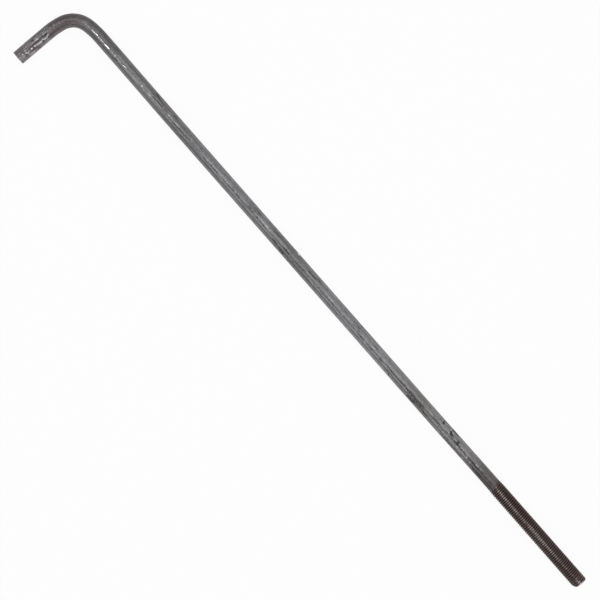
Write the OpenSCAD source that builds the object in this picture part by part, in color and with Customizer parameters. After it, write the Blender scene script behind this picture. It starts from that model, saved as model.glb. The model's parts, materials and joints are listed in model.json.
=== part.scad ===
// L-shaped anchor bolt: one round steel rod, thread rolled on one end, other end bent into a short leg.
// It lies on its side, with the shank along X, the leg towards -Y and the thread's crests on z = 0.

/* [Rod] */
// Diameter of the plain rod, close to the thread's pitch diameter
rod_d = 14.5; // [12:0.1:15.4]
// Length from the leg's outer side to the tip
overall_l = 800.3; // [500:0.1:1200]

/* [Thread] */
// Outside diameter over the thread's crests, 5/8 inch
thread_d = 15.875; // [15.6:0.005:19.5]
// Length of the thread with its run-out, measured from the tip
thread_l = 135.5; // [60:0.5:250]
// Length over which the thread fades into the plain rod
run_out_l = 8; // [1:0.5:12]
// Chamfer around the end face
tip_chamfer = 0.5; // [0.3:0.1:2.5]
// Radius that the shear dragged over on the leg's side of the cropped end
shear_r = 6; // [4:0.1:11]

/* [Bend] */
// Distance from the shank's far side to the leg's end
hook_depth = 85.6; // [80:0.5:150]
// Centre-line radius of the tight middle of the bend
bend_r = 25.3; // [22:0.5:40]
// Centre-line radius of the easing curve on each side of it
ease_r = 87.6; // [60:1:120]
// Angle that each easing curve turns
ease_deg = 11.5; // [5:0.5:20]
// Loss of radius where the rod stretches, once in the easing curves and twice in the middle
bend_thinning = 0.03; // [0.02:0.01:0.1]
// Radius of the bending pin
pin_r = 15; // [10:0.5:15]
// Depth of the mark that the pin leaves on the inside of the bend
pin_mark_t = 0.4; // [0.1:0.1:0.8]

/* [Gripped leg] */
// How much wider than the rod the jaws have spread the leg
jaw_spread = 0.7; // [0.1:0.05:1.2]
// Length of the cone from the round rod to the spread leg
spread_l = 7; // [3:0.5:12]
// How much thinner than the rod the leg is between the two pressed flats
jaw_press = 0.2; // [0:0.05:2.5]
// Length of each pressed flat
flat_l = 30; // [20:0.5:45]
// Distance between the flats and the leg's end
flat_gap = 9.3; // [3:0.1:15]
// Rounding of the jaws' edges
jaw_edge_r = 2.5; // [0.5:0.1:4]
// Chamfer of the leg's cut end
cut_chamfer = 0.4; // [0.1:0.1:1]

/* [Hidden] */
$fn = 96;
steel = [0.44, 0.44, 0.45];

rod_r = rod_d / 2;
thread_r = thread_d / 2;
spread_r = (rod_d + jaw_spread) / 2;
pressed_t = rod_d - jaw_press;
bend_deg = 90 - 2 * ease_deg;

// Each bent stretch starts this far inside the stretch next to it
lap_l = 0.5;

// Lengths from the corner, where the centre lines of shank and leg cross
leg_l = hook_depth - rod_r;
shank_l = overall_l - spread_r;
tangent_l = ease_r * sin(ease_deg)
          + bend_r * (cos(ease_deg) - sin(ease_deg))
          + ease_r * (1 - cos(ease_deg));
leg_straight_l = leg_l - tangent_l;

// Centres of the three curves, from the corner
ease_in_c = [tangent_l, -ease_r];
ease_out_c = [ease_r, -tangent_l];
bend_c = ease_in_c + (ease_r - bend_r) * [-sin(ease_deg), cos(ease_deg)];

// The origin is the middle of the bolt's footprint, on the surface that it lies on
axis_z = max(thread_r, spread_r);
corner = [spread_r - overall_l / 2, (leg_l - thread_r) / 2, axis_z];

// A stretch of rod bent about a centre in the plane of the hook, lapping into its neighbours
module bent_rod(centre, radius, from_deg, turn_deg, section_r) {
    lap_deg = lap_l / radius * 180 / PI;
    translate(centre)
        rotate([0, 0, from_deg - lap_deg])
            rotate_extrude(angle = turn_deg + 2 * lap_deg)
                translate([radius, 0])
                    circle(r = section_r);
}

// The bending pin, standing in the hook and pressed into its inner side
module bending_pin() {
    pin_offset = bend_r - rod_r + 2 * bend_thinning + pin_mark_t - pin_r;
    pin_c = bend_c + pin_offset * [cos(135), sin(135)];
    translate([pin_c.x, pin_c.y, -thread_r])
        cylinder(r = pin_r, h = thread_d);
}

module bend() {
    ease_section_r = rod_r - bend_thinning;
    bend_section_r = rod_r - 2 * bend_thinning;
    difference() {
        union() {
            bent_rod(ease_in_c, ease_r, 90, ease_deg, ease_section_r);
            bent_rod(ease_out_c, ease_r, 180 - ease_deg, ease_deg, ease_section_r);
            bent_rod(bend_c, bend_r, 90 + ease_deg, bend_deg, bend_section_r);
        }
        bending_pin();
    }
}

module plain_shank() {
    translate([tangent_l, 0, 0])
        rotate([0, 90, 0])
            cylinder(r = rod_r, h = shank_l - thread_l - tangent_l);
}

// Envelope of the thread along Z: run-out, crests and chamfered end
module thread_envelope() {
    rotate_extrude()
        polygon([
            [0, 0],
            [rod_r, 0],
            [thread_r, run_out_l],
            [thread_r, thread_l - tip_chamfer],
            [thread_r - tip_chamfer, thread_l],
            [0, thread_l]
        ]);
}

// Side view of the cropped end, with the dragged side towards +X
module cropped_outline() {
    corner_x = thread_r - shear_r;
    translate([-thread_d, 0])
        square([thread_d + corner_x, thread_l]);
    translate([-thread_d, 0])
        square([thread_d + thread_r, thread_l - shear_r]);
    translate([corner_x, thread_l - shear_r])
        circle(r = shear_r);
}

module threaded_end() {
    translate([shank_l - thread_l, 0, 0])
        rotate([-90, 0, -90])
            intersection() {
                thread_envelope();
                rotate([90, 0, 0])
                    translate([0, 0, -thread_d])
                        linear_extrude(2 * thread_d)
                            cropped_outline();
            }
}

// Round leg that the jaws have spread, with its cut end
module spread_leg() {
    translate([0, -tangent_l, 0])
        rotate([90, 0, 0])
            rotate_extrude()
                polygon([
                    [0, 0],
                    [rod_r, 0],
                    [spread_r, spread_l],
                    [spread_r, leg_straight_l - cut_chamfer],
                    [spread_r - cut_chamfer, leg_straight_l],
                    [0, leg_straight_l]
                ]);
}

// Side view of one jaw, with the face that presses the flat at y = 0
module jaw_outline() {
    translate([jaw_edge_r, 0])
        square([flat_l - 2 * jaw_edge_r, jaw_edge_r]);
    translate([0, jaw_edge_r])
        square([flat_l, thread_r]);
    for (x = [jaw_edge_r, flat_l - jaw_edge_r])
        translate([x, jaw_edge_r])
            circle(r = jaw_edge_r);
}

module jaws() {
    for (side = [0, 1])
        mirror([0, 0, side])
            translate([-thread_d, flat_gap - leg_l, pressed_t / 2])
                rotate([90, 0, 90])
                    linear_extrude(2 * thread_d)
                        jaw_outline();
}

module anchor_bolt() {
    color(steel)
        translate(corner)
            difference() {
                union() {
                    plain_shank();
                    threaded_end();
                    bend();
                    spread_leg();
                }
                jaws();
            }
}

anchor_bolt();
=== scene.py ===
import json
import math
import bmesh
import bpy
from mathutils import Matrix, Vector, noise


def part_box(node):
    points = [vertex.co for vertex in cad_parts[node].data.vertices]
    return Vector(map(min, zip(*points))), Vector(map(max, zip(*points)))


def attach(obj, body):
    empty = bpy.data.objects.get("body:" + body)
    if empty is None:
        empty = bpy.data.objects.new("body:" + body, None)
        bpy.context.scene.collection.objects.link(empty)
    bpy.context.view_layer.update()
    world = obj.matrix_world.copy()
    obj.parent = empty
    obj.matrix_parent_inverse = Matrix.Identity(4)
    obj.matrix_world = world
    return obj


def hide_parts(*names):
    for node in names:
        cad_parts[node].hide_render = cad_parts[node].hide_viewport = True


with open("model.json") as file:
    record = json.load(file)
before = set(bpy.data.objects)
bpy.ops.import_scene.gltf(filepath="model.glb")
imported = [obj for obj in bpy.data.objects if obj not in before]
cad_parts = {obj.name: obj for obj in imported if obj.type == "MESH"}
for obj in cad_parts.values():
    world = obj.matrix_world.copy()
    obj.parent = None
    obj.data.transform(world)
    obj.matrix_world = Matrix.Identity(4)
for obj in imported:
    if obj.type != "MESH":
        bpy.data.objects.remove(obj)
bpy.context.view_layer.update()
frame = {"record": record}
low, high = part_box("anchor_bolt")
threadMount = next(m for m in frame["record"]["mounts"] if m["name"] == "thread")

# The bolt is made straight, in millimetres, along X with its axis on the origin.
# x runs from the leg's cut end to the tip, y is the outer side of the hook and z is up.
# Then the hook is bent, and the whole is brought to metres in the frame's place.
mm = 0.001
weld = 0.01                               # vertices nearer than this become one
onPlane = 0.0001                          # and nearer than this to a cutting plane, they lie on it

bar = {
    "radius": 7.3,                        # plain rod with its scale
    "columns": 84,                        # vertices around
    "shankStep": 1.3,                     # distance between rings on the shank
    "hookStep": 0.6,                      # and from the leg's end to past the bend
    "pastBend": 10,                       # how far past it
    "reliefHeight": 0.035,                # uneven mill scale
    "reliefGrain": Vector((0.11, 0.45, 0.45)),
    "reliefFractal": (0.8, 2, 3),         # its dimension, lacunarity and octaves
    "waveHeight": 0.05,                   # slow waviness of the rolled bar
    "waveGrain": Vector((0.012, 0.12, 0.12)),
    "unevenFade": 4,                      # both fade out over this length before the thread
    "core": 1,                            # no thread and no unevenness comes nearer to the axis
    "endFace": 6.5,                       # only the end faces come nearer to the axis than this
    "bow": 0.6,                           # the middle of the shank bows to the hook's inner side
    "bowEase": (135, 100),                # length of that curve at the hook and at the thread
    "sharpEdge": math.radians(48),        # edges that turn more than this are shaded sharp
}

hook = {
    "easeRadius": 87.6,                   # easing curve on each side of the tight bend
    "easeTurn": math.radians(11.5),
    "tightRadius": 25.3,
    "pinMark": 0.4,                       # depth of the bending pin's mark on the inner side
    "pinReach": 10,                       # half its length along the bar
    "opening": math.radians(0.92),        # the hook has sprung open past square
}

leg = {
    "inset": 7.65,                        # from the frame's side to the leg's own axis
    "outerSpread": 0.13,                  # how far the jaws have spread the leg on each side
    "innerSpread": 0.15,
    "spreadLength": 20,
    "spreadStart": 62,                    # from the cut end
    "pressedHalf": 6.9,                   # from the axis to each pressed flat
    "flatStart": 9.3,                     # from the cut end
    "flatEnd": 39.3,
    "jawEdge": 1.2,
    "cutChamfer": 0.4,
    # size of each ring on the cut face, against the one before it
    "endRings": (0.945, 0.85, 0.8, 0.72, 0.6, 0.4),
}

thread = {
    "pitch": 25.4 / 11,
    "radius": threadMount["dims"]["r_mm"],
    "depth": 1.3,
    "crestHalf": 0.36,                    # half of the crest's flat, between its rounded edges
    "crestEdge": (0.5, 0.09),             # along and below the crest
    "rootHalf": 0.07,
    "length": 135.5,
    "leadIn": 2.5,                        # turns made before its start, which a plain ring there takes up
    "firstCrest": 0.15,                   # turn of the helix, in pitches
    "runOut": 8,
    "runOutPower": 0.6,
    "tipChamfer": 0.2,
    "tipSlant": 0.15,                     # how far the end face stands out on the hook's outer side
    "tipStretch": 0.25,                   # and all over
    "tipReach": 6,                        # length of the tip that takes part
    "shearRadius": 5.7,                   # metal dragged over by the shear on the hook's inner side
    "endRings": (0.93, 0.88, 0.84, 0.78, 0.7, 0.6, 0.4),
}


legStart = Vector((low.x / mm + leg["inset"], low.y / mm))
legHeading = math.pi / 2 - hook["opening"]
shankY = threadMount["pos_m"][1] / mm
axisHeight = threadMount["pos_m"][2] / mm


def hookStretches():
    # (length, radius) from the leg's end to the start of the shank, radius 0 for straight
    ease, middle = hook["easeTurn"], legHeading - 2 * hook["easeTurn"]
    bends = [(ease, hook["easeRadius"]), (middle, hook["tightRadius"]), (ease, hook["easeRadius"])]
    heading, rise, advance = legHeading, 0, 0
    for turn, radius in bends:
        rise += radius * (math.cos(heading - turn) - math.cos(heading))
        advance += radius * (math.sin(heading) - math.sin(heading - turn))
        heading -= turn
    straight = (shankY - legStart.y - rise) / math.sin(legHeading)
    advance += straight * math.cos(legHeading)
    return advance, [(straight, 0)] + [(radius * turn, radius) for turn, radius in bends]


hookAdvance, stretches = hookStretches()
hookLength = sum(length for length, radius in stretches)
totalLength = hookLength + high.x / mm - legStart.x - hookAdvance
threadStart = totalLength - thread["length"]


def bendPlace(straight):
    # Where a point of the straight bar comes to lie once the hook is bent
    left = straight.x
    here = legStart.copy()
    heading = legHeading
    for length, radius in stretches:
        part = min(left, length)
        if radius == 0:
            here += part * Vector((math.cos(heading), math.sin(heading)))
        else:
            centre = here + radius * Vector((math.sin(heading), -math.cos(heading)))
            heading -= part / radius
            here = centre + radius * Vector((-math.sin(heading), math.cos(heading)))
        left -= part
        if left <= 0:
            break
    here += max(left, 0) * Vector((math.cos(heading), math.sin(heading)))
    outward = Vector((-math.sin(heading), math.cos(heading)))
    flat = here + straight.y * outward
    return Vector((flat.x, flat.y, axisHeight + straight.z))


def setRadius(vert, radius):
    now = math.hypot(vert.co.y, vert.co.z)
    vert.co.y *= radius / now
    vert.co.z *= radius / now


def toothProfile(bm, start):
    # One pitch of the thread from root to root, standing up from the axis
    half, root = thread["pitch"] / 2, thread["radius"] - thread["depth"]
    edgeAlong, edgeDown = thread["crestEdge"]
    rootCorner = half - thread["rootHalf"]
    points = [
        (-half, root),
        (-rootCorner, root),
        (-edgeAlong, thread["radius"] - edgeDown),
        (-thread["crestHalf"], thread["radius"]),
        (thread["crestHalf"], thread["radius"]),
        (edgeAlong, thread["radius"] - edgeDown),
        (rootCorner, root),
        (half, root),
    ]
    verts = [bm.verts.new((start + half + x, 0, z)) for x, z in points]
    edges = [bm.edges.new(pair) for pair in zip(verts, verts[1:])]
    return verts + edges


def threadTurns(bm):
    # One turn is spun from the tooth's profile, and doubled until the turns reach past the tip
    pitch, columns = thread["pitch"], bar["columns"]
    first = threadStart + (thread["firstCrest"] - thread["leadIn"]) * pitch
    bmesh.ops.spin(
        bm, geom=toothProfile(bm, first), cent=(0, 0, 0), axis=(1, 0, 0), dvec=(pitch / columns, 0, 0),
        angle=2 * math.pi, steps=columns, use_duplicate=False,
    )
    turns = 1
    while first + turns * pitch < totalLength + pitch:
        made = bmesh.ops.duplicate(bm, geom=bm.verts[:] + bm.edges[:] + bm.faces[:])["geom"]
        copied = [item for item in made if isinstance(item, bmesh.types.BMVert)]
        bmesh.ops.translate(bm, vec=(turns * pitch, 0, 0), verts=copied)
        turns *= 2
    bmesh.ops.remove_doubles(bm, verts=bm.verts, dist=weld)


def rolledThread(bm):
    # Gives the turns their run-out, chamfer and plain ends, and returns the open edges at both ends
    threadTurns(bm)
    for vert in bm.verts:
        radius = math.hypot(vert.co.y, vert.co.z)
        share = min(max((vert.co.x - threadStart) / thread["runOut"], 0), 1)
        radius = bar["radius"] + (radius - bar["radius"]) * share ** thread["runOutPower"]
        chamfer = thread["radius"] - (vert.co.x - totalLength + thread["tipChamfer"])
        setRadius(vert, min(radius, max(chamfer, bar["core"])))
        vert.co.x = max(vert.co.x, threadStart)
    bmesh.ops.remove_doubles(bm, verts=bm.verts, dist=weld)
    bmesh.ops.bisect_plane(
        bm, geom=bm.verts[:] + bm.edges[:] + bm.faces[:], dist=onPlane,
        plane_co=(totalLength, 0, 0), plane_no=(1, 0, 0), clear_outer=True,
    )
    middle = (threadStart + totalLength) / 2
    openEdges = [edge for edge in bm.edges if edge.is_boundary]
    atStart = [edge for edge in openEdges if edge.verts[0].co.x < middle]
    atTip = [edge for edge in openEdges if edge.verts[0].co.x > middle]
    return atStart, atTip


def drawBack(bm, ring, end, step):
    # Carries a ring of the bar back towards the leg's end, and cuts the new length into rings
    begin = ring[0].verts[0].co.x
    made = bmesh.ops.extrude_edge_only(bm, edges=ring)["geom"]
    verts = [item for item in made if isinstance(item, bmesh.types.BMVert)]
    bmesh.ops.translate(bm, vec=(end - begin, 0, 0), verts=verts)
    ring = [item for item in made if isinstance(item, bmesh.types.BMEdge)]
    lengthwise = [edge for vert in verts for edge in vert.link_edges if edge not in ring]
    bmesh.ops.subdivide_edges(bm, edges=lengthwise, cuts=round((begin - end) / step) - 1)
    return [edge for edge in bm.edges if edge.is_boundary and abs(edge.verts[0].co.x - end) < weld]


def closeEnd(bm, ring, shares, shift):
    # Closes an end with rings that shrink towards the axis, the first of them moved along the bar
    for share in shares:
        made = bmesh.ops.extrude_edge_only(bm, edges=ring)["geom"]
        ring = [item for item in made if isinstance(item, bmesh.types.BMEdge)]
        for vert in {vert for edge in ring for vert in edge.verts}:
            vert.co.x += shift
            vert.co.y *= share
            vert.co.z *= share
        shift = 0
    bmesh.ops.edgeloop_fill(bm, edges=ring)


def easeShare(value):
    # 0 below 0 and 1 above 1, smooth between
    share = min(max(value, 0), 1)
    return share * share * (3 - 2 * share)


def spreadAndPress(vert):
    # The jaws spread the leg sideways and press a flat above and below
    along, side = vert.co.x, vert.co.y / bar["radius"]
    share = easeShare((leg["spreadStart"] - along) / leg["spreadLength"])
    spread = leg["outerSpread"] if side > 0 else leg["innerSpread"]
    vert.co.y += share * spread * side * abs(side)
    intoJaw = min(along - leg["flatStart"], leg["flatEnd"] - along)
    if intoJaw > 0:
        edge = leg["jawEdge"]
        climb = edge - math.sqrt(edge ** 2 - max(edge - intoJaw, 0) ** 2)
        limit = leg["pressedHalf"] + climb
        vert.co.z = min(max(vert.co.z, -limit), limit)


def bowShank(vert):
    # The shank bows between the hook and the thread, which stay where they are
    hookEase, threadEase = bar["bowEase"]
    fromHook = (vert.co.x - hookLength) / hookEase
    toThread = (threadStart - vert.co.x) / threadEase
    vert.co.y -= bar["bow"] * easeShare(min(fromHook, toThread))


def markByPin(vert):
    # The pin has flattened the inner side a little, halfway round the bend
    straight, ease, tight = (length for length, radius in stretches[:3])
    away = (vert.co.x - (straight + ease + tight / 2)) / hook["pinReach"]
    if abs(away) < 1:
        vert.co.y = max(vert.co.y, hook["pinMark"] * (1 - away ** 2) - bar["radius"])


def dragByShear(vert):
    # The shear has cut the tip a little out of square and dragged it over on the hook's inner side
    share = min(max((vert.co.x - totalLength) / thread["tipReach"] + 1, 0), 1)
    vert.co.x += share * (thread["tipStretch"] + thread["tipSlant"] * vert.co.y / bar["radius"])
    radius = thread["shearRadius"]
    reach = radius - thread["radius"] - vert.co.y
    ahead = vert.co.x - (totalLength + thread["tipStretch"] - radius)
    if reach > 0 and ahead > 0 and math.hypot(reach, ahead) > radius:
        back = radius / math.hypot(reach, ahead) - 1
        vert.co.x += back * ahead
        vert.co.y -= back * reach


def roughen(vert):
    # Uneven scale and waviness fade out before the thread
    share = min(max((threadStart - vert.co.x) / bar["unevenFade"], 0), 1)
    around = math.hypot(vert.co.y, vert.co.z)
    if share > 0 and around > bar["core"]:
        height = bar["reliefHeight"] * noise.fractal(vert.co * bar["reliefGrain"], *bar["reliefFractal"])
        height += bar["waveHeight"] * noise.noise(vert.co * bar["waveGrain"])
        setRadius(vert, around + share * height)


# What handling and rolling left on the bar, and the highlights painted on it, seen from above:
# strokes from (x, y) to (x, y), with half width and strength
marks = {
    "flaked": [                           # dark places where the scale has come off
        # leg
        ((6.4, -0.4), (9, 0.9), 0.4, 0.6), ((10.8, -2.2), (11.6, -2.2), 0.5, 1),
        ((11.7, 0.3), (14.8, 0.2), 0.4, 0.8), ((14.2, -2.1), (21, -1.5), 0.6, 0.8),
        ((16, -5.4), (20, -4.6), 0.8, 0.5), ((21, -1.3), (30.7, -1.2), 0.9, 0.8),
        ((22.5, 2.2), (24.1, 2.2), 0.5, 0.8), ((23.1, -6.7), (25.6, -6.6), 0.6, 0.6),
        ((26.8, 5.2), (27.3, 5.2), 0.5, 0.9), ((31, -4.9), (31.6, -4.9), 0.45, 1.1),
        ((32.9, -1.2), (39, -1.2), 0.9, 0.75), ((34.6, -5), (34.9, -5), 0.4, 1),
        ((37.7, -5), (38, -5), 0.45, 1), ((39.5, -4.6), (46, -4.2), 1.1, 0.3),
        # shank
        ((132, -2.8), (135.5, -2.8), 0.7, 0.7), ((187.5, 0.6), (202.5, 0.7), 0.5, 1.1),
        ((188, 5.4), (193.5, 4.7), 0.8, 0.7), ((194.5, 4.1), (198, 4.1), 0.6, 0.6),
        ((205, 0.7), (210, 0.9), 0.5, 0.7), ((217, 4), (221, 4), 0.7, 0.5),
        ((218, -1.1), (243, -1), 0.5, 0.7), ((268.5, -1.1), (273, -1.2), 0.5, 0.9),
        ((280, -1.3), (282.5, -1.3), 0.5, 0.8), ((284.5, -1), (291.5, -1), 0.5, 1),
        ((299.5, -1.2), (315.5, -1), 0.4, 0.8), ((318.5, -1.4), (333.5, -1.3), 0.4, 0.6),
        ((337, 0.6), (341.5, 0.6), 0.5, 0.72), ((344.5, -0.8), (345.5, 2), 0.5, 0.72),
        ((348, 4.1), (353, 4.1), 0.8, 0.56), ((351.5, -0.8), (353.5, -0.6), 0.7, 0.8),
        ((356.5, -0.3), (358, -1), 0.5, 0.72), ((361, -1.2), (363.5, -1.1), 0.5, 0.72),
        ((375.5, 3.3), (383.5, 3.5), 0.7, 0.48), ((379.5, -3.4), (386.5, -3.4), 0.6, 0.8),
        ((391, -4.2), (398, -5.4), 0.9, 0.72), ((394, -0.7), (402, -1), 0.8, 0.72),
        ((411, -1.6), (425, -1.4), 0.5, 0.56), ((429, 2.6), (440.5, 2.6), 0.6, 0.72),
        ((442, 4.8), (445, 4.4), 0.7, 0.56), ((447, -1.2), (462, -1.4), 0.4, 0.48),
        ((463, -0.6), (473, -1.3), 0.6, 0.56), ((500.5, 1.2), (503, -1.2), 0.5, 0.72),
        ((505, 2.7), (508.5, 2.7), 0.6, 0.72), ((507.5, 0.8), (512.5, 0.8), 0.5, 0.64),
        ((511.5, -1.5), (518.5, -2), 0.6, 0.64), ((528.5, -1.6), (532.5, -1.7), 0.6, 0.8),
        ((532, 2.7), (536.5, 2.5), 0.6, 0.64), ((537.5, 1.5), (537.5, -1.2), 0.4, 0.56),
        ((544, -2.2), (549, -2.2), 0.5, 0.8), ((552.5, 0.9), (553.5, 0.5), 0.5, 0.64),
        ((555.5, -0.8), (562.5, -1.2), 0.5, 0.88), ((558.5, -4.3), (560.5, -4.5), 0.6, 0.8),
        ((562.5, -1.6), (571, -1.5), 0.5, 1), ((563, -5), (564, -6), 0.5, 1),
        ((572, -1.6), (587.5, -1.6), 0.5, 0.9), ((583, -0.2), (584.5, -0.3), 0.5, 0.9),
        # shank beside the thread
        ((589.5, -1.5), (599.5, -1.5), 1.6, 0.6), ((592.5, -5.6), (595.5, -5.6), 0.6, 0.9),
        ((596.5, -5.4), (602.5, -5.4), 1, 0.7), ((599.5, -2), (612, -2.2), 2.2, 0.55),
        ((615, -4.3), (622, -4.3), 0.6, 0.8), ((627, -0.2), (637, -0.4), 0.5, 0.9),
        ((638.5, 5.1), (639, 3.3), 0.8, 1.1), ((643, 4.9), (649, 5.2), 0.4, 0.6),
        ((645, -5.6), (677, -5.9), 0.7, 0.6), ((647.5, -0.2), (649, -0.3), 0.5, 0.9),
        ((650.5, 6.5), (659, 6.4), 0.6, 1), ((651, 3.3), (653.5, 2.4), 1.1, 1.3),
        ((651.5, 1.5), (654, 1), 0.9, 1), ((655.5, 1.4), (656.5, 1.3), 0.4, 1),
        ((655.5, 0.6), (655.5, -1.2), 0.35, 0.9), ((657, 1), (657, -1.8), 0.45, 1.1),
        ((658, -0.2), (662, -0.2), 0.4, 0.7), ((660.5, -0.1), (663.5, -0.3), 0.6, 1),
        ((663, 2.3), (664, 1.5), 0.9, 1.15), ((663.5, -0.2), (667.5, -0.8), 0.9, 1.4),
        ((667.5, -2.7), (668, -2.8), 0.4, 1.1), ((670.5, -0.8), (678.5, -0.9), 0.45, 0.8),
        ((682, -1), (691, -1.1), 0.6, 1.32), ((692, -1.3), (699, -1.3), 0.5, 0.8),
        ((693, -4.9), (706, -4.9), 0.8, 0.7),
    ],
    "rubbedAndGlint": [                           # bright places where it is rubbed through, and painted highlights of the lamps on the leg's ridge, along the bend's line, on the shank's top, on the thread's top and on the tip's rims
        # leg: rubbed places, and a painted highlight along the ridge beside the pressed flat
        ((0.5, -4.6), (7.5, -4.6), 0.8, 0.42), ((0.5, -3), (4, -3), 0.7, 0.36),
        ((1, 1), (5, 1.6), 0.7, 0.28), ((3.6, -5.4), (4.2, -5.4), 0.5, 0.4),
        ((4.2, 1.1), (4.8, 1.1), 0.5, 0.4), ((5.8, -1.9), (6.3, -1.9), 0.55, 0.8),
        ((6.2, -3.8), (6.8, -3.8), 0.5, 0.5), ((8.3, 0), (8.8, 0), 0.45, 0.41),
        ((9.9, -2.9), (11.8, -4.4), 0.5, 0.95), ((10.4, -0.9), (11.2, -0.8), 0.45, 0.39),
        ((10.4, 1.4), (13, 1.9), 0.6, 0.34), ((11.9, -0.9), (13.9, -0.9), 0.35, 0.29),
        ((12, 3), (20, 3), 0.7, 0.3), ((12.2, -6.2), (17.4, -6.2), 0.9, 0.36),
        ((13, -3.6), (14, -3.6), 0.45, 0.55), ((13.5, 2.3), (18.3, 2.4), 0.5, 0.4),
        ((16.8, -3.3), (17.9, -3.3), 0.55, 0.9), ((20.4, -3.2), (23.9, -3.8), 0.34, 1.1),
        ((20.7, 0.4), (31.1, 0.4), 0.42, 0.5), ((23.9, -3.8), (27.1, -4.2), 0.44, 1.3),
        ((25.6, 2.6), (43, 2.9), 0.8, 0.36), ((26.6, -4.2), (29.8, -4.2), 0.56, 1.9),
        ((31.8, -3.4), (33.6, -4.2), 0.34, 1.4), ((33.6, -4.2), (35.8, -4.4), 0.42, 1.8),
        ((34.2, 0.2), (39.4, 0.2), 0.42, 0.5), ((35.5, -6.3), (37, -6.3), 0.8, 0.25),
        ((35.8, -4.4), (37.9, -4), 0.36, 1.5), ((37.9, -4), (39.6, -3.1), 0.32, 1.3),
        ((42, 1.2), (56, 1.2), 1.3, 0.22),
        # painted highlight line on the bend and beside it, with lower roughness where the spark lamp glints
        ((85.5, -0.7), (93.5, -1.1), 0.35, 0.35), ((94.5, -1.2), (103, -1.3), 0.3, 1.19),
        ((105, -1.3), (115.5, -1.4), 0.3, 0.55), ((115.5, -1.4), (121, -1.4), 0.3, 1.12),
        ((125, -1.4), (126, -1.4), 0.34, 0.68), ((129.5, -1.3), (132, -1.4), 0.34, 0.75),
        ((132.5, -1.3), (140.5, -1.3), 0.34, 0.34), ((144, -1.2), (147.5, -1.1), 0.34, 1.09),
        ((159.5, -1), (161.5, -1), 0.34, 0.34), ((170.5, -1), (173, -1), 0.34, 0.95),
        ((182, -0.9), (185.5, -0.9), 0.34, 0.51), ((189, -0.9), (197, -0.5), 0.34, 0.28),
        # shank: rubbed places, and painted light dashes and bands of the lamps' reflections
        ((213, 0.2), (228, 0.1), 0.5, 0.37), ((267.5, -0.3), (275, -0.2), 0.5, 0.33),
        ((278, 0.4), (283.5, 0.2), 0.5, 0.3), ((284.5, -0.2), (298, -0.1), 0.5, 0.33),
        ((299.5, 0), (310.5, 0.1), 0.5, 0.26), ((351.5, 0.6), (371.5, 0.3), 0.8, 0.27),
        ((387, -0.2), (389.5, -0.2), 0.5, 0.33), ((408.5, 6.6), (410, 6.4), 0.6, 0.8),
        ((436, -2.7), (452, -2.7), 0.4, 0.25), ((442, 0), (445, 0.2), 0.6, 0.3),
        ((452, 5.4), (452.5, 5.4), 0.5, 0.5), ((462, 0.2), (470, 0.8), 0.5, 0.35),
        ((556, -1.6), (588, -2.8), 0.8, 0.2), ((559.5, -6.1), (560.5, -6.1), 0.5, 0.4),
        ((618, -2.4), (688, -2.4), 1.4, 0.18), ((648.5, 4.8), (650.5, 4.1), 0.3, 0.6),
        ((652, 4.3), (655, 3.7), 0.3, 0.6), ((664, -2.1), (667.5, -1.9), 0.35, 0.7),
        ((691, 0.4), (701, 0.4), 0.4, 0.4),
        # thread: painted sheen of the overhead lamp along the crests' tops, with some rubbing
        ((724.5, 0), (726.5, -0.2), 0.6, 0.6), ((727.5, -0.8), (755.5, -1), 1.5, 0.55),
        ((732.5, -0.8), (740.5, -0.8), 0.8, 0.88), ((753.5, -0.8), (757, -0.8), 0.7, 0.88),
        ((755.5, -1), (776.5, -1), 1.4, 0.51), ((776.5, -1), (801.5, -1), 1.6, 0.62),
        ((792.5, -0.9), (798.5, -0.9), 0.8, 0.99), ((801.5, -1), (824.5, -1), 1.3, 0.51),
        ((803.5, -0.9), (811, -0.9), 0.8, 0.99), ((824.5, -0.9), (843, -0.9), 1.1, 0.42),
        # last crests and the tip's rim, with painted highlights on their edges
        ((845.1, 0.2), (845.2, -1.2), 0.5, 1), ((847.4, -0.4), (847.5, -1.4), 0.4, 0.7),
        ((849.8, 0.4), (849.9, -1.4), 0.5, 1), ((852.1, 0), (852.2, -1.6), 0.5, 1.2),
        ((854.5, 0.8), (854.6, -1.6), 0.6, 1.5), ((856.6, 3.4), (856.7, 2.4), 0.5, 1),
        ((856.8, 0.6), (856.9, -1.8), 0.6, 1.5), ((857.1, -3.6), (857.2, -5), 0.5, 0.9),
        ((857.9, 5.6), (857.9, -4), 0.35, 0.75),
    ],
    "stained": [                          # broad darker places
        ((6, -1.7), (35, -1.7), 1, 0.26), ((40, -6), (43, -6), 1.2, 0.25), ((92, 4), (125, 4), 5, 0.25),
        ((388, -5), (432, -4), 4, 0.12), ((560, -5), (640, -4), 4, 0.12),
        ((592, -2), (612, -2), 7, 0.12), ((686, -5), (716, -4), 5, 0.35),
    ],
    "browned": [                          # broad places with a thin brown bloom
        ((0, 0), (9, 0), 5, 0.5), ((13, -2), (20, -1.6), 1.2, 1), ((17, -5.5), (26, -5), 2, 1),
        ((40, -3.5), (56, -3), 3, 0.45), ((60, -3.4), (74, -4.5), 2.8, 0.7),
        ((590, -2), (614, -2), 4, 0.35),
    ],
}
strokeEdge = 1.6                          # a stroke is whole to 0.6 of its half width and gone at 1.6
leastShare = 0.02                         # a smaller share of a mark doesn't show


def markShare(vert, strokes):
    # How much of a mark a point of the bar's upper side takes, from 0 to 1; the end faces take none
    share = 0
    if vert.co.z < 0 or math.hypot(vert.co.y, vert.co.z) < bar["endFace"]:
        return share
    for begin, end, halfWidth, strength in strokes:
        first, last = min(begin[0], end[0]), max(begin[0], end[0])
        reach = strokeEdge * halfWidth
        if first - reach < vert.co.x < last + reach:
            here, start, stroke = Vector(vert.co.xy), Vector(begin), Vector(end) - Vector(begin)
            along = min(max((here - start).dot(stroke) / stroke.length_squared, 0), 1)
            away = (here - start - along * stroke).length / halfWidth
            share = max(share, strength * min(max(strokeEdge - away, 0), 1))
    return share


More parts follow.
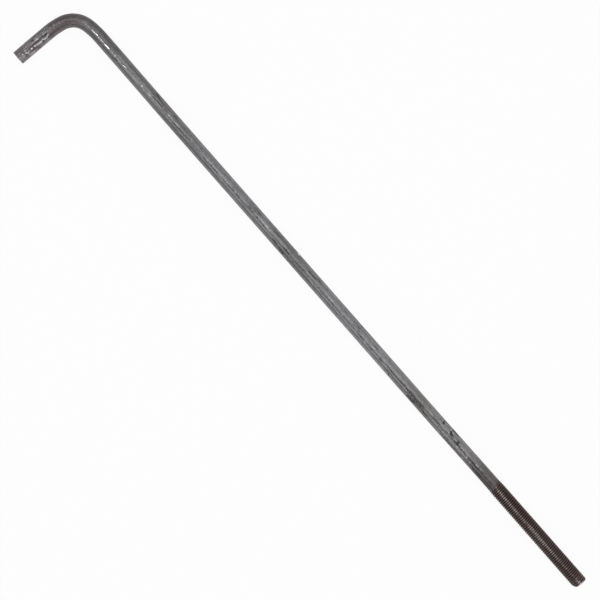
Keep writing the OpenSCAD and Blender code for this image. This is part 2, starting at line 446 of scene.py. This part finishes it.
def anchorBolt():
    bm = bmesh.new()
    atStart, atTip = rolledThread(bm)
    print("thread: %d faces" % len(bm.faces))
    ring = drawBack(bm, atStart, hookLength + bar["pastBend"], bar["shankStep"])
    ring = drawBack(bm, ring, leg["cutChamfer"], bar["hookStep"])
    closeEnd(bm, ring, leg["endRings"], -leg["cutChamfer"])
    closeEnd(bm, atTip, thread["endRings"], 0)
    for vert in bm.verts:
        roughen(vert)
        spreadAndPress(vert)
        markByPin(vert)
        dragByShear(vert)
    place = bm.verts.layers.float_vector.new("barPlace")
    shares = {name: bm.verts.layers.float.new(name) for name in marks}
    for vert in bm.verts:
        vert[place] = vert.co
        for name, layer in shares.items():
            vert[layer] = markShare(vert, marks[name])
        bowShank(vert)
        vert.co = bendPlace(vert.co) * mm
    bmesh.ops.recalc_face_normals(bm, faces=bm.faces)
    for face in bm.faces:
        face.smooth = True
    for edge in bm.edges:
        edge.smooth = edge.calc_face_angle(0) < bar["sharpEdge"]
    mesh = bpy.data.meshes.new("anchorBolt")
    bm.to_mesh(mesh)
    bm.free()
    bolt = bpy.data.objects.new("anchorBolt", mesh)
    bpy.context.scene.collection.objects.link(bolt)
    triangles = sum(len(face.vertices) - 2 for face in mesh.polygons)
    print("bolt: %d vertices, %d triangles" % (len(mesh.vertices), triangles))
    return bolt


steel = {
    # colour of the mill scale along the bar: (millimetres from the leg's end, colour)
    "zones": [
        (0, (0.198, 0.184, 0.187)), (36, (0.192, 0.179, 0.183)), (46, (0.163, 0.145, 0.149)),
        (62, (0.160, 0.139, 0.143)), (84, (0.185, 0.170, 0.173)), (120, (0.200, 0.193, 0.195)),
        (150, (0.205, 0.201, 0.203)), (190, (0.212, 0.208, 0.210)), (205, (0.198, 0.190, 0.195)),
        (232, (0.215, 0.213, 0.216)), (250, (0.207, 0.202, 0.208)), (275, (0.225, 0.224, 0.236)),
        (325, (0.240, 0.239, 0.249)), (342, (0.213, 0.207, 0.210)), (358, (0.235, 0.234, 0.243)),
        (380, (0.208, 0.204, 0.205)), (405, (0.212, 0.207, 0.208)), (430, (0.222, 0.222, 0.226)),
        (470, (0.240, 0.238, 0.248)), (560, (0.262, 0.260, 0.269)), (590, (0.248, 0.242, 0.242)),
        (606, (0.218, 0.213, 0.208)), (640, (0.246, 0.243, 0.246)), (675, (0.258, 0.250, 0.254)),
        (690, (0.235, 0.225, 0.226)), (699, (0.175, 0.164, 0.165)), (724, (0.130, 0.114, 0.111)),
    ],
    "darkest": 0.5,                       # share of that colour where the scale is darkest and lightest
    "lightest": 1.5,
    # noises stretched along the bar: grain along and across in millimetres, detail, roughness and shift
    "grains": {
        "streaks": ((22, 0.8), 4, 0.6, 0),
        "mottle": ((4, 1.5), 4, 0.6, 7),
        "patches": ((70, 7), 2, 0.5, 3),
        "flecks": ((3.5, 0.9), 2, 0.5, 11),
        "pepper": ((2.4, 1), 2, 0.6, 23),
        "wander": ((30, 8), 2, 0.5, 5),
        "ragged": ((1.4, 0.8), 2, 0.6, 17),
        "wiped": ((14, 4), 2, 0.5, 29),
    },
    # share of each noise in the scale's lightness
    "tone": {"mottle": 0.5, "streaks": 0.4, "patches": 0.3},
    "toneRange": (0.32, 0.88),            # sums of them where it is darkest and lightest
    "pepper": 0.7,                        # fine grain all round, and more near the top, where it also paints the broken sparkle of the overhead highlight
    "pepperTop": 1.4,
    "pepperTurn": math.radians(3),        # turn from the top of that place, and its width
    "pepperWidth": math.radians(24),
    "wander": 0.12,                       # how far the flecked band and the lines wander, in radians
    "highlightFleckBand": math.radians(9),       # turn from the top of a band with more dark flecks, which paints the broken overhead highlight, and its width
    "highlightFleckWidth": math.radians(14),
    "fleckLevel": 0.66,                   # noise above this is a fleck
    "highlightFleckExtra": 0.1,                   # how much less is enough in that band
    "fleckEdge": 9,                       # how sharp its edge is
    "fleckStrength": 0.6,
    "fleckScale": (0.05, 0.048, 0.052),
    "seamAndPaintedDarkReflection": math.radians(37),        # turn of a dark lengthwise line: a drawn seam, and a painted dark reflection band beside the lamps
    "innerSeamAndPaintedDarkReflection": math.radians(11),        # and of another, fainter one, also a seam with a painted dark reflection band
    "innerShare": 0.08,
    "lineWidth": math.radians(6),
    "lineStrength": 0.25,
    "lineOnHook": 0.3,                    # share of it on the hook, and where it grows to the whole
    "lineRise": (70, 130),
    "markNoise": 2,                       # how much noise breaks up a mark's edges
    "markEdge": (0.2, 0.8),               # share and noise where a mark begins to show, and is whole
    "stain": 0.9,
    "bloom": (1.06, 0.88, 0.89),          # change of the colour where it is browned
    "bloomRange": (0.3, 0.7),
    "oil": [                              # colour of the oiled thread, from root (0) to crest (1)
        (0, (0.108, 0.057, 0.054)), (0.7, (0.102, 0.056, 0.053)), (0.95, (0.112, 0.079, 0.075)),
    ],
    "soil": 0.45,                         # lightness of the oil, and what patches and the scuffed tip add
    "soilPatches": 1.1,
    "soilScuffed": 0.5,
    "scuffed": (16, 2),                   # distances from the tip where it is scuffed a little and fully
    "wiped": (0.9, 1.07, 1.08),           # change of the oil's brown where most of it is wiped off
    "wipedRange": (0.45, 0.7),
    "oilEdge": (2.5, 6),                  # distances past the thread's start where it begins, and is whole
    "oilSlant": 0.4,                      # how that edge leans across the bar, and how ragged it is
    "oilRagged": 5,
    "grooveSpared": 0.6,                  # share of the rubbing that the bottom of a groove is spared
    "grooveRange": (0.2, 0.9),            # heights where that begins to fade, and is gone
    # colours of rubbed places and of the painted highlights, on the bar and on the thread
    "rubbedSteelAndGlint": (0.86, 0.84, 0.85),
    "rubbedThreadAndSheen": (0.48, 0.43, 0.41),
    "roughness": 0.32,
    "roughSpread": 0.2,                   # how far the mottle changes it
    "threadRoughness": 0.12,              # more than that on the thread
    "rubbedPolish": 0.17,                 # less where it is rubbed and where highlights are painted
    "metallic": 0.85,
    "edgeTint": (0.35, 0.35, 0.35),
    "bumpHeight": 0.09,                   # millimetres
    "flakedDepth": 0.35,                  # shares of it
    "rubbedHeight": 0.3,
    "oilCoat": 0.2,
    "oilRoughness": 0.1,
}


def put(tree, kind, inputs=None, **settings):
    # Adds a node: inputs are values or the sockets to link, settings are the node's own
    made = tree.nodes.new(kind)
    for name, value in settings.items():
        setattr(made, name, value)
    for key, value in (inputs or {}).items():
        if isinstance(value, bpy.types.NodeSocket):
            tree.links.new(value, made.inputs[key])
        else:
            made.inputs[key].default_value = value
    return made


def sums(tree, operation, first, second=0.0, third=0.0, clamp=False):
    inputs = {0: first, 1: second, 2: third}
    return put(tree, "ShaderNodeMath", inputs, operation=operation, use_clamp=clamp).outputs[0]


def product(tree, first, second):
    return sums(tree, "MULTIPLY", first, second)


def plusProduct(tree, start, first, second):
    return sums(tree, "MULTIPLY_ADD", first, second, start)


def rise(tree, value, start, end):
    # 0 below start, 1 above end, smooth between
    made = put(tree, "ShaderNodeMapRange", {"Value": value, "From Min": start, "From Max": end},
               interpolation_type="SMOOTHSTEP")
    return made.outputs["Result"]


def band(tree, value, centre, width):
    # 1 at the centre, 0 a width away from it on both sides
    away = sums(tree, "ABSOLUTE", sums(tree, "SUBTRACT", value, centre))
    return sums(tree, "SUBTRACT", 1.0, rise(tree, away, 0, width))


def grain(tree, place, spacing, detail, roughness, shift):
    # Noise stretched along the bar
    along, across = spacing
    scaled = put(tree, "ShaderNodeMapping", {
        "Vector": place, "Location": (shift, shift, shift), "Scale": (1 / along, 1 / across, 1 / across)})
    made = put(tree, "ShaderNodeTexNoise", {
        "Vector": scaled.outputs[0], "Scale": 1.0, "Detail": detail, "Roughness": roughness})
    return made.outputs["Fac"]


def swing(tree, noiseValue):
    # Noise about 0 instead of about its middle
    return sums(tree, "SUBTRACT", noiseValue, 0.5)


def attribute(tree, name, output="Fac"):
    return put(tree, "ShaderNodeAttribute", attribute_name=name).outputs[output]


def solid(colour):
    return (*colour, 1.0)


def mixColour(tree, share, first, second, mode="MIX"):
    made = put(tree, "ShaderNodeMix", {0: share, 6: first, 7: second}, data_type="RGBA", blend_type=mode)
    return made.outputs[2]


def tinted(tree, colour, tint):
    return mixColour(tree, 1.0, colour, tint, "MULTIPLY")


def dimmed(tree, colour, lightness):
    grey = put(tree, "ShaderNodeCombineXYZ", {0: lightness, 1: lightness, 2: lightness})
    return tinted(tree, colour, grey.outputs[0])


def ramp(tree, value, stops):
    made = put(tree, "ShaderNodeValToRGB", {0: value})
    elements = made.color_ramp.elements
    for index, (place, colour) in enumerate(stops):
        element = elements[index] if index < 2 else elements.new(place)
        element.position = place
        element.color = solid(colour)
    return made.outputs[0]


def barSockets(tree):
    # A point's place on the straight bar, its distance from the axis, its turn from the top, and the noises
    place = attribute(tree, "barPlace", "Vector")
    parts = put(tree, "ShaderNodeSeparateXYZ", {0: place})
    side, up = parts.outputs["Y"], parts.outputs["Z"]
    across = put(tree, "ShaderNodeCombineXYZ", {"Y": side, "Z": up})
    radius = put(tree, "ShaderNodeVectorMath", {0: across.outputs[0]}, operation="LENGTH").outputs["Value"]
    turn = sums(tree, "ARCTAN2", product(tree, side, -1.0), up)
    noises = {name: grain(tree, place, *settings) for name, settings in steel["grains"].items()}
    return {"along": parts.outputs["X"], "side": side, "radius": radius, "turn": turn, **noises}


def markLayer(tree, at, name):
    # A mark's share, broken up by noise at its edges
    share = attribute(tree, name)
    broken = plusProduct(tree, share, swing(tree, at["ragged"]), steel["markNoise"])
    some = sums(tree, "GREATER_THAN", share, leastShare)
    return product(tree, rise(tree, broken, *steel["markEdge"]), some)


def darkPlaces(tree, at):
    # Flecks, flaked places, and dark lengthwise lines that are drawn seams and painted dark reflection
    # bands, from 0 to 1
    turn = plusProduct(tree, at["turn"], swing(tree, at["wander"]), steel["wander"])
    # a band just off the top gets more dark flecks: painted dark breaks in the overhead highlight
    highlightFlecks = band(tree, turn, steel["highlightFleckBand"], steel["highlightFleckWidth"])
    level = plusProduct(tree, steel["fleckLevel"], highlightFlecks, -steel["highlightFleckExtra"])
    flecks = sums(tree, "SUBTRACT", at["flecks"], level)
    flecks = sums(tree, "MULTIPLY", flecks, steel["fleckEdge"], clamp=True)
    flecks = product(tree, flecks, steel["fleckStrength"])
    # dark lengthwise lines: drawn seams, and painted dark reflection bands between the lamps' reflections
    line = band(tree, turn, steel["seamAndPaintedDarkReflection"], steel["lineWidth"])
    innerSeamAndPaintedDarkReflection = band(tree, turn, steel["innerSeamAndPaintedDarkReflection"], steel["lineWidth"])
    line = plusProduct(tree, line, innerSeamAndPaintedDarkReflection, steel["innerShare"])
    pastHook = rise(tree, at["along"], *steel["lineRise"])
    line = product(tree, line, plusProduct(tree, steel["lineOnHook"], pastHook, 1 - steel["lineOnHook"]))
    dark = sums(tree, "MAXIMUM", flecks, markLayer(tree, at, "flaked"))
    return sums(tree, "MAXIMUM", dark, product(tree, line, steel["lineStrength"]))


def millScale(tree, at, tone, dark):
    # Colour of the plain bar
    lightness = rise(tree, tone, *steel["toneRange"])
    lightness = plusProduct(tree, steel["darkest"], lightness, steel["lightest"] - steel["darkest"])
    # the stronger grain near the top paints the broken sparkle of the overhead highlight
    top = band(tree, at["turn"], steel["pepperTurn"], steel["pepperWidth"])
    pepper = plusProduct(tree, steel["pepper"], top, steel["pepperTop"])
    lightness = product(tree, lightness, plusProduct(tree, 1.0, swing(tree, at["pepper"]), pepper))
    unstained = plusProduct(tree, 1.0, attribute(tree, "stained"), -steel["stain"])
    lightness = product(tree, lightness, unstained)
    stops = [(x / totalLength, colour) for x, colour in steel["zones"]]
    colour = dimmed(tree, ramp(tree, sums(tree, "DIVIDE", at["along"], totalLength), stops), lightness)
    browned = product(tree, attribute(tree, "browned"), rise(tree, at["mottle"], *steel["bloomRange"]))
    colour = mixColour(tree, browned, colour, tinted(tree, colour, solid(steel["bloom"])))
    return mixColour(tree, dark, colour, solid(steel["fleckScale"]))


def oiledThread(tree, at, level, scuffed):
    # Colour of the thread under its brown oil
    lightness = plusProduct(tree, steel["soil"], at["patches"], steel["soilPatches"])
    lightness = plusProduct(tree, lightness, scuffed, steel["soilScuffed"])
    colour = dimmed(tree, ramp(tree, level, steel["oil"]), lightness)
    wiped = rise(tree, at["wiped"], *steel["wipedRange"])
    return mixColour(tree, wiped, colour, tinted(tree, colour, solid(steel["wiped"])))


def onThread(tree, at):
    # 0 on the plain bar and 1 on the thread, with a ragged edge that leans across the bar
    begin, full = steel["oilEdge"]
    edge = plusProduct(tree, at["along"], at["mottle"], steel["oilRagged"])
    edge = plusProduct(tree, edge, at["side"], steel["oilSlant"])
    return rise(tree, edge, threadStart + begin, threadStart + full)


def plainSteel():
    material = bpy.data.materials.new("plainSteel")
    material.use_nodes = True
    tree = material.node_tree
    shader = tree.nodes["Principled BSDF"]
    at = barSockets(tree)
    tone = 0.0
    for name, share in steel["tone"].items():
        tone = plusProduct(tree, tone, at[name], share)
    dark, oiled = darkPlaces(tree, at), onThread(tree, at)
    depth = sums(tree, "SUBTRACT", at["radius"], thread["radius"] - thread["depth"])
    level = sums(tree, "DIVIDE", depth, thread["depth"], clamp=True)
    little, fully = steel["scuffed"]
    scuffed = rise(tree, at["along"], totalLength - little, totalLength - fully)
    colour = mixColour(tree, oiled, millScale(tree, at, tone, dark), oiledThread(tree, at, level, scuffed))

    inGroove = sums(tree, "SUBTRACT", 1.0, rise(tree, level, *steel["grooveRange"]))
    spared = product(tree, product(tree, oiled, inGroove), -steel["grooveSpared"])
    # rubbed places and painted highlights, spared in the bottoms of the grooves
    rubbedAndGlint = markLayer(tree, at, "rubbedAndGlint")
    rubbedAndGlint = plusProduct(tree, rubbedAndGlint, rubbedAndGlint, spared)
    wornAndGlintColour = mixColour(tree, scuffed, solid(steel["rubbedThreadAndSheen"]), solid(steel["rubbedSteelAndGlint"]))
    wornAndGlintColour = mixColour(tree, oiled, solid(steel["rubbedSteelAndGlint"]), wornAndGlintColour)
    tree.links.new(mixColour(tree, rubbedAndGlint, colour, wornAndGlintColour), shader.inputs["Base Color"])

    rough = plusProduct(tree, steel["roughness"], swing(tree, at["mottle"]), steel["roughSpread"])
    rough = plusProduct(tree, rough, oiled, steel["threadRoughness"])
    rough = plusProduct(tree, rough, rubbedAndGlint, -steel["rubbedPolish"])
    tree.links.new(rough, shader.inputs["Roughness"])
    height = plusProduct(tree, tone, dark, -steel["flakedDepth"])
    height = plusProduct(tree, height, rubbedAndGlint, steel["rubbedHeight"])
    bump = put(tree, "ShaderNodeBump", {"Height": height, "Distance": steel["bumpHeight"] * mm})
    tree.links.new(bump.outputs[0], shader.inputs["Normal"])
    shader.inputs["Metallic"].default_value = steel["metallic"]
    shader.inputs["Specular Tint"].default_value = solid(steel["edgeTint"])
    shader.inputs["Coat Weight"].default_value = steel["oilCoat"]
    shader.inputs["Coat Roughness"].default_value = steel["oilRoughness"]
    return material


studio = {
    "viewWidth": 0.6217,                  # width of the picture at the height of the bolt's axis
    "lens": 90,
    "sensor": 36,
    "farClip": 100,
    "turn": math.radians(48.7),           # of the picture against the shank
    "centre": (-0.0114, 0.01088),
    "world": 0.5,
    "floor": 0.94,                        # share of plain white in the floor, the rest takes the shadow
    "floorHalf": 20,
    "lampDistance": 1.7,
    "lampLength": 2.4,
    # strip lamps along the bar: lean from straight up and width across, both as angles seen from the bar,
    # and brightness; a positive lean is to the hook's inner side
    "lamps": {
        "overhead": (math.radians(-12), math.radians(35), 0.74),
        "inner": (math.radians(46), math.radians(22), 0.6),
        "outer": (math.radians(-56), math.radians(46), 0.25),
    },
    # a small lamp that makes glints: its place, where on the shank it points, its width and its power
    "spark": ((-0.72, -0.62, 1.6), -0.33, 0.04, 1.3),
}


def addCamera():
    data = bpy.data.cameras.new("camera")
    data.lens = studio["lens"]
    data.sensor_width = studio["sensor"]
    data.clip_end = studio["farClip"]
    camera = bpy.data.objects.new("camera", data)
    height = studio["lens"] / studio["sensor"] * studio["viewWidth"]
    camera.location = (*studio["centre"], axisHeight * mm + height)
    camera.rotation_euler = (0, 0, studio["turn"])
    bpy.context.scene.collection.objects.link(camera)
    bpy.context.scene.camera = camera


def addFloor():
    bm = bmesh.new()
    bmesh.ops.create_grid(bm, x_segments=1, y_segments=1, size=studio["floorHalf"])
    mesh = bpy.data.meshes.new("floor")
    bm.to_mesh(mesh)
    bm.free()
    floor = bpy.data.objects.new("floor", mesh)
    bpy.context.scene.collection.objects.link(floor)
    material = bpy.data.materials.new("whiteFloor")
    material.use_nodes = True
    tree = material.node_tree
    tree.nodes.remove(tree.nodes["Principled BSDF"])
    rays = put(tree, "ShaderNodeLightPath")
    seen = sums(tree, "MAXIMUM", rays.outputs["Is Camera Ray"], rays.outputs["Is Glossy Ray"])
    seen = sums(tree, "MAXIMUM", seen, rays.outputs["Is Transmission Ray"])
    paper = put(tree, "ShaderNodeBsdfDiffuse", {"Color": (1, 1, 1, 1)})
    glow = put(tree, "ShaderNodeEmission", {"Color": (1, 1, 1, 1), "Strength": 1.0})
    share = product(tree, seen, studio["floor"])
    both = put(tree, "ShaderNodeMixShader", {0: share, 1: paper.outputs[0], 2: glow.outputs[0]})
    tree.links.new(both.outputs[0], tree.nodes["Material Output"].inputs["Surface"])
    mesh.materials.append(material)


def addLight(name, place, aim, size, power):
    data = bpy.data.lights.new(name, "AREA")
    data.shape = "RECTANGLE"
    data.size, data.size_y = size
    data.energy = power
    lamp = bpy.data.objects.new(name, data)
    lamp.location = place
    lamp.rotation_euler = (Vector(aim) - Vector(place)).to_track_quat("-Z", "Y").to_euler()
    bpy.context.scene.collection.objects.link(lamp)


def addStripLamp(name, lean, spread, brightness):
    distance, length = studio["lampDistance"], studio["lampLength"]
    width = 2 * distance * math.tan(spread / 2)
    aim = (0, shankY * mm, 0)
    place = (0, shankY * mm - distance * math.sin(lean), distance * math.cos(lean))
    addLight(name, place, aim, (length, width), brightness * math.pi * length * width)


def addStudio():
    world = bpy.data.worlds.new("studio")
    world.use_nodes = True
    background = world.node_tree.nodes["Background"]
    background.inputs["Color"].default_value = (1, 1, 1, 1)
    background.inputs["Strength"].default_value = studio["world"]
    bpy.context.scene.world = world
    for name, (lean, spread, brightness) in studio["lamps"].items():
        addStripLamp(name, lean, spread, brightness)
    place, aim, width, power = studio["spark"]
    addLight("spark", place, (aim, shankY * mm, 0), (width, width), power)
    bpy.context.scene.view_settings.view_transform = "Standard"


addCamera()
addStudio()
addFloor()
print("studio: ready")
bolt = anchorBolt()
bolt.data.materials.append(plainSteel())
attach(bolt, "root")
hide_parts("anchor_bolt")
